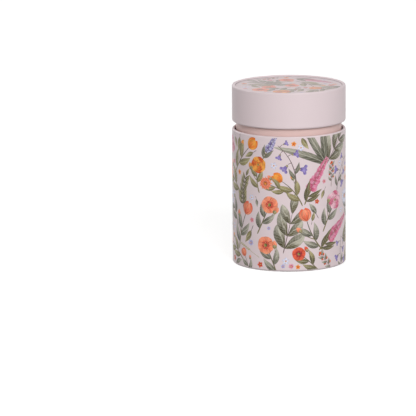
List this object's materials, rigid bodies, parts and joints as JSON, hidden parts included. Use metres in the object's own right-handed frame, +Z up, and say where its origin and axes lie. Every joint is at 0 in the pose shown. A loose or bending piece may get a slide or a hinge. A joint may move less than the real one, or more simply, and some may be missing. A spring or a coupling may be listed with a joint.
{
  "type": "tea caddy",
  "caption": "Round double-walled tinplate tea caddy with a floral body, a slim neck ring, a dished inner lid with a knob and a slip-on outer lid.",
  "frame": {"origin": "centre of the foot ring, on the surface that the caddy stands on", "axes": "+Z up along the caddy's axis, towards the lid; the side that faces the viewer is -Y and the seams are at +Y"},
  "size_m": [0.075, 0.075, 0.1187],
  "materials": {
    "printed_tin": "satin print of mixed flowers and leaves on pale pink, over tinplate",
    "lid_lacquer": "satin pale pink lacquer, bare tinplate inside",
    "lid_print": "satin print of mixed flowers and leaves on pale pink",
    "neck_lacquer": "satin salmon lacquer outside, bare tinplate inside",
    "inner_lid_print": "satin print on the dish, pale pink wall and flange, bare tinplate underside",
    "bare_tinplate": "bright rolled tinplate",
    "polished_knob": "polished",
    "zinc_screw": "zinc plated"
  },
  "bodies": {
    "can": {"outer_shell": "printed_tin", "base_disc": "bare_tinplate", "liner_tube": "neck_lacquer", "liner_base": "bare_tinplate"},
    "inner_lid": {"inner_lid_pan": "inner_lid_print", "knob": "polished_knob", "knob_screw": "zinc_screw", "knob_washer": "zinc_screw"},
    "outer_lid": {"outer_lid_band": "lid_lacquer", "outer_lid_top": "lid_print"}
  },
  "joints": [
    {"name": "inner_lid_lift", "type": "slide", "parent": "can", "child": "inner_lid", "axis": [0, 0, 1], "range_m": [0, 0.03]},
    {"name": "outer_lid_lift", "type": "slide", "parent": "inner_lid", "child": "outer_lid", "axis": [0, 0, 1], "range_m": [0, 0.05]}
  ]
}
